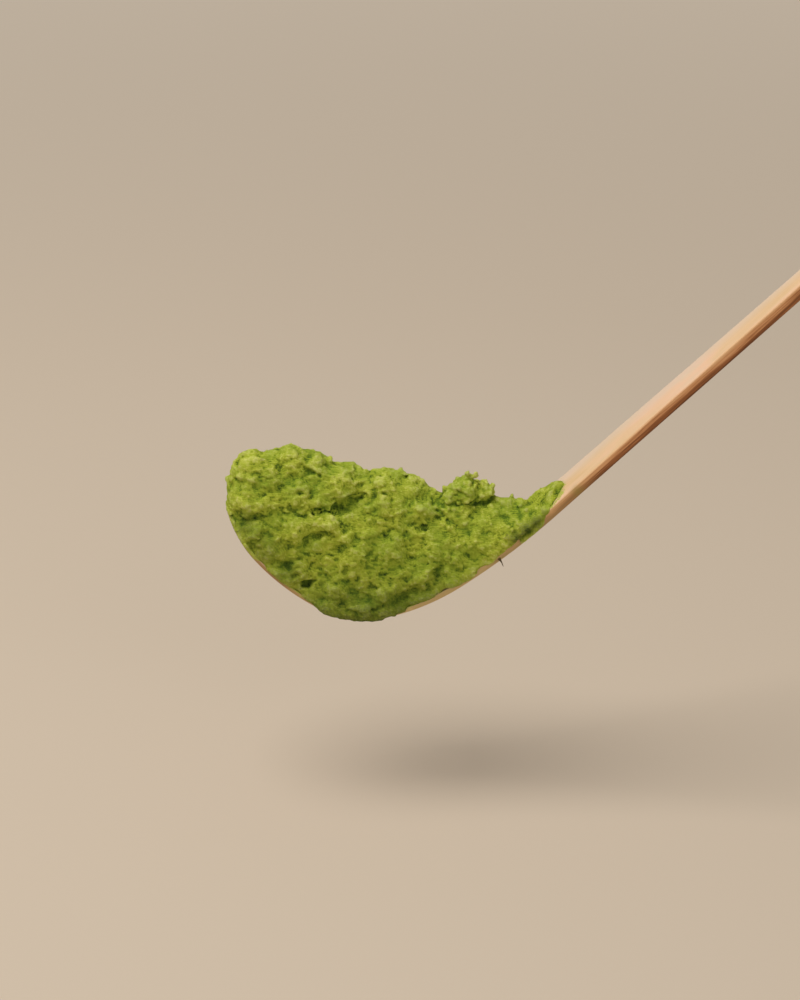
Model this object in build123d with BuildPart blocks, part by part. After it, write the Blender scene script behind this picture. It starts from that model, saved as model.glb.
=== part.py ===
from build123d import *
import os
from math import cos, radians, sin, tan

# A bamboo tea scoop, held by its handle, with a heaped load of powdered green tea.
# X runs from the scoop's tip towards the end of its handle, Z is up, and the origin is on the
# handle's flat back, where the fingers hold it. The strip is bent in the XZ plane.

quarter_turn = 90  # degrees

# The strip's back, from the handle's end down to the tip: a straight handle and four bends
handle_slope = 44.3  # degrees above the horizontal, as the scoop is held
grip_to_end = 50.0
grip_to_neck = 71.5
neck_radius = 90.0
neck_turn = 11.0  # degrees
heel_radius = 33.0
heel_turn = 18.0  # degrees
bend_radius = 15.5
bend_turn = 48.0  # degrees
tip_radius = 33.0
tip_turn = 31.5  # degrees

# The strip's thickness, from the handle's end down to the tip
end_thickness = 2.3
neck_thickness = 1.45
heel_thickness = 0.95
bend_thickness = 0.8
toe_thickness = 0.7
tip_thickness = 0.55

# The strip's width, seen from above
end_width = 4.7
slim_width = 4.9
neck_width = 7.0
blade_width = 11.0
tip_rounding = 3.8
blade_straight = 17.0
blade_to_neck = 27.0
neck_to_slim = 33.0

# The bamboo's node, a low ridge across the skin side of the handle
node_from_grip = 6.0
node_length = 2.6
node_height = 0.3

# The shallow dish along the blade's skin side, which runs out at both of its ends
dish_width = 8.6
dish_depth = 0.3
dish_rise = 1.0
run_out_share = 1.25

# The heap of powdered tea. A station of the heap holds its place along the heap, from the tip
# to the toe, then its crest's height above the strip's back, and its width as a share of the
# blade's.
tea_clearance = 0.12
heap_length = 48.0
heap_height = 23.7
heap_station_shares = [
    (0.012, 0.17, 0.32),
    (0.035, 0.36, 0.66),
    (0.085, 0.58, 0.90),
    (0.20, 0.815, 0.97),
    (0.30, 0.89, 1.00),
    (0.42, 0.87, 1.00),
    (0.54, 0.79, 0.98),
    (0.66, 0.575, 0.91),
    (0.78, 0.375, 0.84),
    (0.88, 0.20, 0.79),
    (0.95, 0.15, 0.75),
    (1.00, 0.10, 0.64),
]
# Half of a station's outline: its half width and its height, from floor to crest
heap_side_shares = [(1.0, 0.0), (1.0, 0.22), (0.85, 0.55), (0.52, 0.84)]

# The heap's main lumps. Each holds its place along the heap, its middle's height above the
# strip's back, its place across as a share of the blade's half width, and its radius as a share
# of the heap's height.
near_lump_shares = [
    (0.083, 0.459, 0.00, 0.135),
    (0.074, 0.311, -0.23, 0.127),
    (0.094, 0.329, -0.29, 0.135),
    (0.084, 0.179, -0.47, 0.118),
    (0.129, 0.527, -0.05, 0.143),
    (0.133, 0.178, -0.42, 0.152),
    (0.192, 0.719, 0.11, 0.127),
    (0.211, 0.611, -0.16, 0.135),
    (0.212, 0.401, -0.39, 0.135),
    (0.211, 0.161, -0.51, 0.135),
    (0.259, 0.773, 0.15, 0.135),
    (0.307, 0.536, -0.25, 0.152),
    (0.330, 0.779, 0.06, 0.127),
    (0.331, 0.162, -0.51, 0.143),
    (0.372, 0.363, -0.25, 0.186),
    (0.464, 0.652, -0.17, 0.127),
    (0.480, 0.764, 0.07, 0.118),
    (0.470, 0.163, -0.47, 0.152),
    (0.493, 0.425, -0.29, 0.160),
    (0.540, 0.705, 0.02, 0.101),
    (0.578, 0.545, -0.11, 0.135),
    (0.586, 0.186, -0.49, 0.135),
    (0.631, 0.308, -0.26, 0.152),
    (0.691, 0.387, -0.03, 0.135),
    (0.744, 0.181, -0.33, 0.127),
    (0.790, 0.255, -0.02, 0.118),
    (0.838, 0.107, -0.26, 0.118),
    (0.909, 0.061, -0.13, 0.101),
    (0.989, 0.011, -0.14, 0.093),
]
far_lump_shares = [
    (0.089, 0.387, 0.21, 0.127),
    (0.104, 0.196, 0.52, 0.118),
    (0.156, 0.512, 0.22, 0.135),
    (0.173, 0.294, 0.41, 0.143),
    (0.242, 0.659, 0.12, 0.135),
    (0.257, 0.469, 0.32, 0.143),
    (0.281, 0.215, 0.49, 0.143),
    (0.338, 0.596, 0.22, 0.143),
    (0.358, 0.352, 0.33, 0.169),
    (0.438, 0.651, 0.19, 0.127),
    (0.449, 0.469, 0.30, 0.152),
    (0.460, 0.226, 0.43, 0.160),
    (0.534, 0.542, 0.23, 0.135),
    (0.555, 0.333, 0.35, 0.152),
    (0.633, 0.402, 0.25, 0.127),
    (0.657, 0.182, 0.42, 0.135),
    (0.739, 0.255, 0.27, 0.118),
    (0.800, 0.122, 0.38, 0.110),
    (0.886, 0.046, 0.32, 0.101),
]

# The cracks that part the heap's clods, and the crevice under the tip's crest, as places
# along the heap and heights above the strip's back
tip_crack_shares = [
    (-0.02, 0.015),
    (0.10, 0.27),
    (0.18, 0.43),
    (0.28, 0.637),
    (0.385, 0.754),
    (0.42, 0.834),
    (0.434, 1.08),
]
middle_crack_shares = [(0.40, 0.772), (0.47, 0.761), (0.54, 0.691), (0.61, 0.625), (0.66, 0.684)]
toe_crack_shares = [(0.74, -0.12), (0.80, 0.114), (0.845, 0.203), (0.86, 0.40)]
crevice_shares = [
    (0.23, 0.537),
    (0.33, 0.662),
    (0.41, 0.753),
    (0.43, 0.834),
    (0.37, 0.775),
    (0.28, 0.657),
]
crevice_depth = 2.6
crack_top_share = 1.3
crack_side_share = 0.2

# The lip of tea that bulges over the blade's near edge, and the knob of clods on the crest.
# A lump of the knob holds its offsets and its radius, as shares of the knob's length.
lip_shares = [
    (0.265, 0.020),
    (0.30, -0.006),
    (0.36, -0.014),
    (0.42, -0.006),
    (0.48, 0.008),
    (0.53, 0.027),
    (0.50, 0.104),
    (0.40, 0.132),
    (0.31, 0.103),
]
lip_depth = 0.8
lip_centre_share = (0.40, 0.067)
lip_layer_shares = [(0.0, 1.0), (0.6, 0.84), (1.0, 0.45)]
knob_length = 6.2
knob_share = (0.710, 0.545)
knob_lump_shares = [(0.0, 0.0, 0.0, 0.34), (0.38, 0.05, -0.04, 0.27), (-0.27, -0.12, -0.16, 0.21)]

# The loose fibre that hangs from the blade's near edge
fibre_length = 1.15
fibre_root_radius = 0.16
fibre_tip_radius = 0.05
fibre_slope = 62.0  # degrees below the horizontal
fibre_place_share = 0.665

# The plan's cut reaches past the whole side view
cut_reach = grip_to_end + grip_to_neck


# The strip's back, drawn with X across and Z up
uphill = Vector(cos(radians(handle_slope)), sin(radians(handle_slope)))
with BuildLine(Plane.XY) as back:
    handle_back = Line(uphill * grip_to_end, uphill * -grip_to_neck)
    neck = JernArc(handle_back @ 1, handle_back % 1, neck_radius, -neck_turn)
    heel = JernArc(neck @ 1, neck % 1, heel_radius, -heel_turn)
    bend = JernArc(heel @ 1, heel % 1, bend_radius, -bend_turn)
    tip = JernArc(bend @ 1, bend % 1, tip_radius, -tip_turn)

blade_arcs = [
    (neck, neck_thickness, heel_thickness),
    (heel, heel_thickness, bend_thickness),
    (bend, bend_thickness, toe_thickness),
    (tip, toe_thickness, tip_thickness),
]
tip_x = (tip @ 1).X


def back_height(x):
    """The height of the strip's back at a place along it, or of its tip beyond that"""
    if x > (neck @ 0).X:
        return x * tan(radians(handle_slope))
    arc = next((arc for arc, _, _ in blade_arcs if x > (arc @ 1).X), tip)
    reach = max(x, tip_x) - arc.arc_center.X
    return arc.arc_center.Y - (arc.radius**2 - reach**2) ** 0.5


def above_back(curve, share, height):
    """The point that lies square above a curve of the strip's back"""
    return curve @ share + (curve % share).rotate(Axis.Z, -quarter_turn) * height


def skin_line(clearance):
    """The blade's skin side, from the neck to the tip, raised by a clearance"""
    points = [above_back(neck, 0, neck_thickness + clearance)]
    for arc, before, after in blade_arcs:
        points.append(above_back(arc, 0.5, (before + after) / 2 + clearance))
        points.append(above_back(arc, 1, after + clearance))
    return Spline(*points, tangents=(neck % 0, tip % 1))


def dish_section(arc, share, thickness, lift):
    """A slice square across the blade, whose round floor is the dish, lifted where it runs out"""
    place = above_back(arc, share, thickness)
    heading = arc % share
    across = Plane((place.X, 0, place.Y), x_dir=(0, -1, 0), z_dir=(heading.X, 0, heading.Y))
    with BuildSketch(across) as section:
        with BuildLine():
            rim = lift * dish_depth
            floor = ThreePointArc(
                (-dish_width / 2, rim), (0, rim - dish_depth), (dish_width / 2, rim)
            )
            corners = [(dish_width / 2, rim + dish_rise), (-dish_width / 2, rim + dish_rise)]
            Polyline(floor @ 1, *corners, floor @ 0)
        make_face()
    return section.sketch


def heap_point(share):
    """A point of the heap's side view, from its place along it and its height over the back"""
    along, up = share
    x = tip_x + along * heap_length
    return (x, back_height(x) + up * heap_height)


def heap_section(along, crest, width):
    """A slice square across the heap, with steep sides and a round crest"""
    half_width = width * blade_width / 2
    x, floor = heap_point((along, 0))
    rise = crest * heap_height
    side = [(y * half_width, floor + up * rise) for y, up in heap_side_shares]
    far_side = [(-y, z) for y, z in reversed(side)]
    with BuildSketch(Plane.YZ.offset(x)) as section:
        with BuildLine():
            outline = Spline(*side, (0, floor + rise), *far_side)
            Line(outline @ 1, outline @ 0)
        make_face()
    return section.sketch


def beyond_crack(crack_shares, corner_shares):
    """The side view of what lies between a crack and the corners beyond it"""
    with BuildSketch(Plane.XZ) as region:
        with BuildLine():
            crack = Spline(*[heap_point(share) for share in crack_shares])
            corners = [heap_point(share) for share in corner_shares]
            Polyline(crack @ 1, *corners, crack @ 0)
        make_face()
    return region.sketch


def lip_section(out, size):
    """A layer of the lip, at a share of its depth out of the edge, and of a share of its size"""
    along_centre, up_centre = lip_centre_share
    layer = [
        heap_point((along_centre + size * (along - along_centre), up_centre + size * (up - up_centre)))
        for along, up in lip_shares
    ]
    edge = blade_width / 2 + tea_clearance
    with BuildSketch(Plane.XZ.offset(edge + out * lip_depth)) as section:
        with BuildLine():
            Spline(*layer, periodic=True)
        make_face()
    return section.sketch


# The scoop: one strip of bamboo, its side view crossed with its plan
with BuildPart() as bamboo_scoop:
    with BuildSketch(Plane.XZ):
        with BuildLine():
            add(back.line)
            skin = skin_line(0)
            handle_top = above_back(handle_back, 0, end_thickness)
            handle_skin = Line(skin @ 0, handle_top)
            Line(handle_top, handle_back @ 0)
            Line(skin @ 1, tip @ 1)
        make_face()
    with BuildSketch(Plane.XZ):
        with BuildLine():
            node_share = (grip_to_neck + node_from_grip) / handle_skin.length
            node_reach = node_length / 2 / handle_skin.length
            node_crown = (handle_skin % node_share).rotate(Axis.Z, quarter_turn) * node_height
            ridge = ThreePointArc(
                handle_skin @ (node_share - node_reach),
                handle_skin @ node_share + node_crown,
                handle_skin @ (node_share + node_reach),
            )
            Line(ridge @ 1, ridge @ 0)
        make_face()
    extrude(amount=blade_width, both=True)
    with BuildSketch(Plane.XY):
        with BuildLine():
            nose = EllipticalCenterArc(
                (tip_x + tip_rounding, 0),
                tip_rounding,
                blade_width / 2,
                quarter_turn,
                arc_size=quarter_turn,
            )
            side = Line(nose @ 0, (tip_x + tip_rounding + blade_straight, blade_width / 2))
            flare_end = (side @ 1) + (blade_to_neck, (neck_width - blade_width) / 2)
            taper_end = flare_end + (neck_to_slim, (slim_width - neck_width) / 2)
            handle_end = (handle_top.X + end_thickness, end_width / 2)
            flare = Spline(side @ 1, flare_end, tangents=(side % 1, taper_end - flare_end))
            Polyline(flare_end, taper_end, handle_end, (handle_end[0], 0), nose @ 1)
        half_plan = make_face()
        mirror(half_plan, about=Plane.XZ)
    extrude(amount=cut_reach, both=True, mode=Mode.INTERSECT)
    dish = [
        dish_section(heel, 0, heel_thickness, run_out_share),
        dish_section(heel, 1, bend_thickness, 0),
        dish_section(bend, 0.5, (bend_thickness + toe_thickness) / 2, 0),
        dish_section(bend, 1, toe_thickness, 0),
        dish_section(tip, 0.5, (toe_thickness + tip_thickness) / 2, 0),
        dish_section(tip, 1, tip_thickness, run_out_share),
    ]
    loft(dish, mode=Mode.SUBTRACT)

# The fibre: a hair of bamboo that has come away from the blade's near edge
fibre_place = flare @ fibre_place_share
fibre_root = (
    fibre_place.X,
    -fibre_place.Y - fibre_root_radius,
    back_height(fibre_place.X) + fibre_root_radius,
)
fibre_heading = (cos(radians(fibre_slope)), 0, -sin(radians(fibre_slope)))
with BuildPart(Plane(fibre_root, z_dir=fibre_heading)) as stray_fibre:
    Cone(
        fibre_root_radius,
        fibre_tip_radius,
        fibre_length,
        align=(Align.CENTER, Align.CENTER, Align.MIN),
    )

# The knob: three lumps of tea pressed into one clod on the crest
knob_x, knob_z = heap_point(knob_share)
with BuildPart() as matcha_knob:
    for along, across, up, radius in knob_lump_shares:
        lump = (knob_x + along * knob_length, across * knob_length, knob_z + up * knob_length)
        with Locations(lump):
            Sphere(radius * knob_length)

# The whole heap, which follows the blade's skin side at a hair's clearance
with BuildPart() as heap_form:
    loft([heap_section(*station) for station in heap_station_shares])
    for along, up, across, radius in near_lump_shares + far_lump_shares:
        lump_x, lump_z = heap_point((along, up))
        with Locations((lump_x, across * blade_width / 2, lump_z)):
            Sphere(radius * heap_height)
    with BuildSketch(Plane.XZ):
        with BuildLine():
            seat = skin_line(tea_clearance)
            tip_top = ((seat @ 1).X, heap_point((0, crack_top_share))[1])
            toe_top = ((seat @ 0).X + crack_side_share * heap_length, tip_top[1])
            seat_end = seat @ 0 + uphill * crack_side_share * heap_length
            Polyline(seat @ 1, tip_top, toe_top, seat_end, seat @ 0)
        make_face()
    extrude(amount=blade_width, both=True, mode=Mode.INTERSECT)
    add(matcha_knob.part, mode=Mode.SUBTRACT)

# The crest over the tip, which overhangs a crevice
with BuildPart() as matcha_tip_crest:
    add(heap_form.part)
    tip_corners = [
        (tip_crack_shares[-1][0], crack_top_share),
        (-crack_side_share, crack_top_share),
        (-crack_side_share, tip_crack_shares[0][1]),
    ]
    tip_side = beyond_crack(tip_crack_shares, tip_corners)
    extrude(tip_side, amount=blade_width, both=True, mode=Mode.INTERSECT)

# The lower crest beside it
with BuildPart() as matcha_middle_crest:
    add(heap_form.part)
    add(matcha_tip_crest.part, mode=Mode.SUBTRACT)
    middle_corners = [
        (middle_crack_shares[-1][0], crack_top_share),
        (middle_crack_shares[0][0], crack_top_share),
    ]
    middle_side = beyond_crack(middle_crack_shares, middle_corners)
    extrude(middle_side, amount=blade_width, both=True, mode=Mode.INTERSECT)

# The thin toe of tea that runs up the neck
with BuildPart() as matcha_toe:
    add(heap_form.part)
    toe_corners = [
        (1 + crack_side_share, toe_crack_shares[-1][1] + crack_side_share),
        (1 + crack_side_share, toe_crack_shares[0][1]),
    ]
    toe_side = beyond_crack(toe_crack_shares, toe_corners)
    extrude(toe_side, amount=blade_width, both=True, mode=Mode.INTERSECT)

# The bed: the packed tea that fills the blade and carries the clods
with BuildPart() as matcha_bed:
    add(heap_form.part)
    for clod in (matcha_tip_crest, matcha_middle_crest, matcha_toe):
        add(clod.part, mode=Mode.SUBTRACT)
    with BuildSketch(Plane.XZ.offset(blade_width / 2 - crevice_depth)):
        with BuildLine():
            Spline(*[heap_point(share) for share in crevice_shares], periodic=True)
        make_face()
    extrude(amount=blade_width, mode=Mode.SUBTRACT)

# The lip: tea that bulges out over the blade's near edge and hangs beside it
with BuildPart() as matcha_lip:
    loft([lip_section(*layer) for layer in lip_layer_shares])
    add(matcha_bed.part, mode=Mode.SUBTRACT)

pieces = {
    "bamboo_scoop": bamboo_scoop,
    "stray_fibre": stray_fibre,
    "matcha_bed": matcha_bed,
    "matcha_tip_crest": matcha_tip_crest,
    "matcha_middle_crest": matcha_middle_crest,
    "matcha_knob": matcha_knob,
    "matcha_toe": matcha_toe,
    "matcha_lip": matcha_lip,
}
os.makedirs("parts", exist_ok=True)
for name, piece in pieces.items():
    piece.part.label = name
    export_step(piece.part, f"parts/{name}.step")
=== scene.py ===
from collections import namedtuple
from math import cos, pi, radians, sin

import bpy
import numpy as np
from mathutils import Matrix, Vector
from mathutils.bvhtree import BVHTree


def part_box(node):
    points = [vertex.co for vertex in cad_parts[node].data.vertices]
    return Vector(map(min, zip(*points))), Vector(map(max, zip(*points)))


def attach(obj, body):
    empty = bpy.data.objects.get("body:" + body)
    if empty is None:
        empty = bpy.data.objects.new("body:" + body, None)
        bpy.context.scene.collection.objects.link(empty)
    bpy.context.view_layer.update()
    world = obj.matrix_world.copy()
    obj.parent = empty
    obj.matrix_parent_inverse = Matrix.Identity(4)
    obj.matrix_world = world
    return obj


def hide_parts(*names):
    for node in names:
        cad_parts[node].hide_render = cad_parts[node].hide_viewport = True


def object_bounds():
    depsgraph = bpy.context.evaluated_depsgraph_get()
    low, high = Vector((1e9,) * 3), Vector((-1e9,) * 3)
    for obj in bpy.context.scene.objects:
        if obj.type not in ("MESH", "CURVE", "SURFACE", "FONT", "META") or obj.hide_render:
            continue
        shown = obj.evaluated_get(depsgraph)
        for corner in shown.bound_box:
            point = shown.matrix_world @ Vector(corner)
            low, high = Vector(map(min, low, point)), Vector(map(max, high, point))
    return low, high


# Lengths are in millimetres, and become metres where a mesh, a lamp or the camera is made
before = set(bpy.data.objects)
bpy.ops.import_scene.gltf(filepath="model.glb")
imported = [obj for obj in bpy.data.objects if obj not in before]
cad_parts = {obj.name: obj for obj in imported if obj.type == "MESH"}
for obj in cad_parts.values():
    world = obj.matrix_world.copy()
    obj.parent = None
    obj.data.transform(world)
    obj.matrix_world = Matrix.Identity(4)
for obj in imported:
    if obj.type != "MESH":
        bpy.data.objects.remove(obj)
cad_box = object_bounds()
MM = 0.001

# The photograph's view: its size in pixels, and the camera that fits it
picture_size = Vector((800, 1000))
focal_pixels = 3500
camera_elevation = 25  # degrees above the level
camera_distance = 500
aim = Vector((-73.516, 0, -49.218))
sensor_width = 36
nearest_seen = 10

# The studio: a lamp has a place from the aim, a width, a power in watts and a colour
floor_drop = 45  # from the aim down to the floor
floor_half_size = 4000
floor_fade = (180, 520)  # from the aim: where the floor starts to fade, and where it has faded
floor_colour = (205, 189, 169)
background = (196, 182, 164)
lamps = {
    "key": ((-240, -80, 560), 420, 2.8, (1.0, 0.97, 0.93)),
    "fill": ((300, -600, 300), 500, 0.7, (0.96, 0.98, 1.0)),
}
sky_colour, sky_strength = (1.0, 0.98, 0.95, 1.0), 0.36

# The strip of bamboo, from the handle's end down to the tip, as the CAD part has it
handle_slope = 44.3  # degrees
grip_to_end = 50.0
grip_to_neck = 71.5
blade_arcs = [(90.0, 11.0), (33.0, 18.0), (15.5, 48.0), (33.0, 31.5)]  # radius, turn in degrees
thicknesses = [2.3, 1.45, 0.95, 0.8, 0.7, 0.55]
blade_half_width = 5.5
neck_half_width = 3.5
slim_half_width = 2.45
end_half_width = 2.35
tip_rounding = 3.8
blade_straight = 17.0
blade_to_neck = 27.0
neck_to_slim = 33.0
edge_rounding = 0.2
rounding_of_thickness_share, rounding_of_width_share = 0.42, 0.9
dish_half_width = 4.3
dish_depth = 0.3
node_from_grip = 6.0
node_length = 2.6
node_height = 0.3
ridge_sharpness = 2.2
groove_share, groove_offset_share, groove_sharpness = 0.55, 0.25, 60.0
# What the CAD part doesn't have: how far the strip's edges sway, and how long each bend is
sway, sway_length, sway_seed = 0.05, 9.0, 11
# The strip's mesh: the gap between its stations, those that crowd near the tip, and the points round it
station_gap = 0.25
tip_reach, tip_stations = 4.0, 32
flat_points, side_points, corner_points = 25, 7, 4
least_half_width = 0.03
# Which face a point is on, from the skin round the edge to the back
on_skin, on_upper_edge, on_side, on_lower_edge, on_back = 0.0, 0.5, 1.0, 1.5, 2.0

# The loose fibre on the near edge: places in the photograph from its root to its end
fibre_places = [(499.0, 558.5), (500.5, 560.5), (501.8, 562.6), (502.6, 564.6), (503.3, 566.6)]
fibre_radii = [0.26, 0.14, 0.08, 0.06, 0.03]
fibre_depth = -5.0
fibre_sides = 10

sharp_angle = 55  # degrees between two faces

# The heap of tea: a coarse grid holds the solids' distances, and a finer one the powder's relief
tea_nodes = {
    "tea_bed": "matcha_bed",
    "tea_tip_crest": "matcha_tip_crest",
    "tea_middle_crest": "matcha_middle_crest",
    "tea_knob": "matcha_knob",
    "tea_toe": "matcha_toe",
    "tea_lip": "matcha_lip",
}
coarse_step = 0.51
finer_times = 3
heap_pad = 1.8
reach = 2.5  # the farthest distance that a field holds
touching = 0.06  # a face this near to another tea solid is covered by it
seam_reach = 0.12
seam_overlap = 0.1
ray_nudge = 0.0007
last_cell = 1.01  # in steps: keeps a shifted place within the grid's last cell
x_of_tip = cad_box[0][0] / MM

# The powder's relief: how wide its lumps are, how far they stand out or shift, and how thick they
# are as a share of how wide. Billows are round lumps with creases between them.
Relief = namedtuple("Relief", "size height seed thickness_share", defaults=(1.0,))
warps = [Relief(2.4, 0.4, seed=20), Relief(0.8, 0.2, seed=24)]
swells = Relief(2.6, 0.22, seed=1)
billows = Relief(1.6, 0.25, seed=2)
ripples = [
    Relief(0.7, 0.11, seed=3, thickness_share=0.55),
    Relief(0.4, 0.10, seed=4, thickness_share=0.55),
    Relief(0.24, 0.07, seed=8),
]
coat_relief = Relief(0.4, 0.07, seed=12)
toe_end_relief = Relief(0.7, 0.35, seed=13)
seam_relief = Relief(1.1, 0.3, seed=30)
noise_stretch = 2.2  # brings a noise to about -1 to 1
noise_pad = 5  # lattice points beyond a grid's own length
billow_middle = 0.35
crease_rounding = 0.3

# Bits of powder at random places: how many, their least and greatest radius, how deep their middles
# lie under the surface, and the fillet round them. Flat ones are flakes that lie nearly level, and
# dug ones are pits. The knob and the toe have grains of their own.
Bits = namedtuple("Bits", "count sizes depths blend seed flat dug node", defaults=(False, False, None))
powder_bits = [
    Bits(1500, (0.2, 0.48), (0.12, 0.36), 0.08, seed=9, flat=True),
    Bits(120, (0.25, 0.5), (0.1, 0.38), 0.2, seed=5),
    Bits(170, (0.24, 0.46), (-0.05, 0.25), 0.06, seed=14, node="matcha_knob"),
    Bits(130, (0.16, 0.36), (-0.05, 0.25), 0.06, seed=14, node="matcha_toe"),
    Bits(800, (0.10, 0.24), (0.0, 0.2), 0.06, seed=6),
    Bits(90, (0.12, 0.22), (-0.1, 0.1), 0.06, seed=7, dug=True),
]
bit_axis_shares = (0.55, 1.0)  # of its radius, for each of its half sizes
bit_roundness = 3  # the power that rounds its corners, where 2 makes a ball
bit_window_share = 1.3  # of its greatest half size, for the part of the grid that it changes
flake_thickness_share = 0.34
flake_tilt = 0.35
grains_margin = 0.3
fillet_reach = 2  # in blends

# The powder is pressed smooth and full against the blade, and is roughest at the top of the heap
smooth_reach, smoothest = 0.9, 0.65
full_reach, fullest = 1.5, 0.42
rough_levels, rough_shares = (-63.0, -47.0), (0.75, 1.15)
# How far the powder stands off the blade, by its place along X: on the neck it is pressed into it
gap_along, blade_gaps = (-57.0, -54.5), (0.02, -0.12)
# Under the strip's back, powder is left only near to its edges and at its very tip
under_edge_share = 0.88
under_start = 0.6
# Where tea clings to the blade's cut sides: a place along X, how far it reaches to both sides, and
# how thick it is
coats = [(-99.0, 4.6, 0.18), (-54.9, 2.1, 0.24)]
coat_edge_share = 0.85
coat_above_back = 0.12
coat_fade = 1.2
coat_steepness = 3.0
coat_blend = 0.15
# Where the powder ends on the neck: places along X from the near edge to the far one, and the slope
# that it thins out with
toe_end_across = (-4.5, -3.0, 0.0, 3.5)
toe_end_along = (-52.5, -51.9, -50.0, -50.7)
toe_end_slope = 1.1
toe_end_steepness = 0.7

# Small lumps of the heap's outline, as places in the photograph in its pixels, with their depth
# behind the scoop's middle plane and their radius
outline_lumps = [
    (243, 460, 0.0, 0.9),
    (237, 465, 0.0, 0.8),
    (232, 479, 0.0, 0.6),
    (316, 458, 0.5, 0.9),
    (330, 460, 0.5, 0.8),
    (338, 464, 0.8, 0.7),
    (352, 468, 1.0, 0.7),
    (360, 471, 1.0, 0.7),
    (368, 474, 0.8, 0.6),
    (375, 473, 0.8, 0.65),
    (402, 471, 0.4, 0.45),
    (422, 481, 0.4, 0.5),
    (446, 490, 0.4, 0.45),
    (467, 474, -0.3, 0.5),
    (475, 476, -0.3, 0.55),
    (491, 486, -0.3, 0.5),
    (497, 500, 0.0, 0.7),
    (505, 503, 0.0, 0.8),
    (512, 504, 0.0, 0.8),
    (519, 504, 0.0, 0.8),
]
outline_blend = 0.5
# A thin point of powder that stands up on the toe, from its foot to its end
spike = [(511, 501, 0, 0.5), (511.5, 498.5, 0, 0.38), (511.8, 496.3, 0, 0.28), (512.1, 494.5, 0, 0.2)]
spike_blend = 0.15
# Places in the photograph just over the outline, where a cut along the view keeps it low
outline_cuts = [(316, 438, 1.8), (279, 438, 1.9), (221, 466, 0.9)]
cut_reach, cut_gap = 7.0, 1.0
cut_blend = 0.6
# Chains of places on its near face where it is hollow, with a radius
face_hollows = [
    [
        (368, 494, 0.45),
        (360, 498, 0.7),
        (350, 501, 0.7),
        (341, 504, 0.4),
        (330, 507, 0.28),
        (306, 516, 0.26),
    ],
    [(304, 471, 0.3), (311, 473, 0.35), (319, 475, 0.25)],
    [(298, 492, 0.25), (305, 493, 0.25)],
    [(312, 580, 0.4), (307, 585, 0.6), (303, 588, 0.4)],
    [(384, 496, 0.25)],
    [(393, 503, 0.25)],
]
# Chains of places where it only dips
face_dips = [
    [(324, 537, 0.8), (313, 540, 0.9), (305, 548, 0.8)],
    [(365, 497, 1.2), (352, 503, 1.3), (340, 508, 1.0)],
    [(440, 569, 0.8), (437, 577, 1.0), (433, 585, 0.8)],
    [(420, 590, 0.8), (405, 598, 0.8)],
    [(238, 521, 0.7), (250, 519, 0.8), (261, 515, 0.7)],
    [(285, 566, 0.8), (298, 578, 0.8)],
    [(407, 536, 0.7)],
    [(428, 530, 0.7)],
    [(455, 493, 0.6), (464, 496, 0.6)],
]
hollow_blend = 0.3
chain_step_shares = (0, 0.34, 0.67)
hollow_depth_shares = (-0.15, 0.3)  # of the radius, from the face along the view
dip_depth_shares = (-0.68,)

# How far to each side the powder is averaged, to tell how open to the air a place is, and how
# proud it stands: these set the painted shade in its hollows and the painted highlight on its lumps
open_reach, proud_reaches = 0.35, (0.9, 0.7)
# Painted shade on the powder: darker towards the bottom of the heap by its height, and darker near places
# in the photograph where shade falls, with their depth behind the middle plane, a radius and how dark
painted_shade_levels, painted_shade_shares = (-66.4, -64.2, -56.0), (1.0, 0.7, 0.0)
painted_shade_places = [
    (517, 538, -4.5, 1.3, 0.85),
    (527, 531, -4.5, 1.4, 0.95),
    (537, 524, -4.5, 1.4, 0.9),
    (546, 517, -4.3, 1.1, 0.5),
    (358, 500, -4.0, 1.6, 0.5),
    (308, 585, -4.0, 1.7, 0.95),
    (437, 577, -4.5, 1.8, 0.5),
    (412, 596, -4.5, 2.2, 0.55),
    (390, 612, -5.0, 2.4, 0.9),
    (365, 615, -5.0, 2.4, 0.9),
    (340, 612, -5.0, 2.4, 0.8),
    (290, 572, -4.5, 2.8, 0.65),
    (265, 548, -4.5, 2.8, 0.65),
    (246, 526, -4.5, 2.4, 0.6),
    (231, 522, -4.8, 1.3, 0.4),
    (238, 539, -4.8, 1.3, 0.45),
    (250, 555, -4.8, 1.3, 0.45),
]

# Tea dust on the bamboo: how far it reaches from the powder and from the tip, and how much of it is
# left on each face
dust_reach, most_dust = 0.5, 0.75
dusty_tip, dusty_fade = 9.5, 2.0
dusted_faces, dusted_shares = (on_upper_edge, on_side, on_back), (1.0, 0.55, 0.22)
# A smear of tea on the near side of the neck, as a place in the photograph with its depth
smear_place, smear_radius, smear_share = (577, 491, -3.6), 0.9, 0.5

# The looks: how often a noise repeats in a millimetre, for the bamboo along, across and through it
tea_grain_scale, tea_speck_scale, tea_cloud_scale, tea_patch_scale = 2.8, 1.6, 0.65, 0.3
fibre_scales = (0.10, 5.0, 5.0)
coarse_scales = (0.035, 1.6, 1.6)
patch_scales = (0.09, 0.22, 0.22)
dust_scales = (1.4, 1.4, 1.4)
# The span of each value, and the levels on a ramp that a look spreads it over
noise_span = (0.3, 0.7)
# How open and how proud the powder is are spread over the tea's ramp as painted shade and painted
# highlight
open_span, open_levels = (0.27, 0.73), (0.06, 0.46)
proud_span, proud_levels = (0.36, 0.64), (0.04, 0.54)
patch_levels, skin_fibre_levels = (0.1, 0.8), (-0.12, 0.2)
fibre_span, streak_levels = (0.32, 0.68), (-0.2, 0.3)
up_span, up_levels = (0.0, 0.9), (-0.1, 0.75)
# How far a noise swings a level to both sides
grain_swing, speck_swing, cloud_swing = 0.17, 0.12, 0.12
# The first is how far a noise swings the painted shade on the powder
painted_shade_swing, dust_swing = 0.24, 0.35
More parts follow.
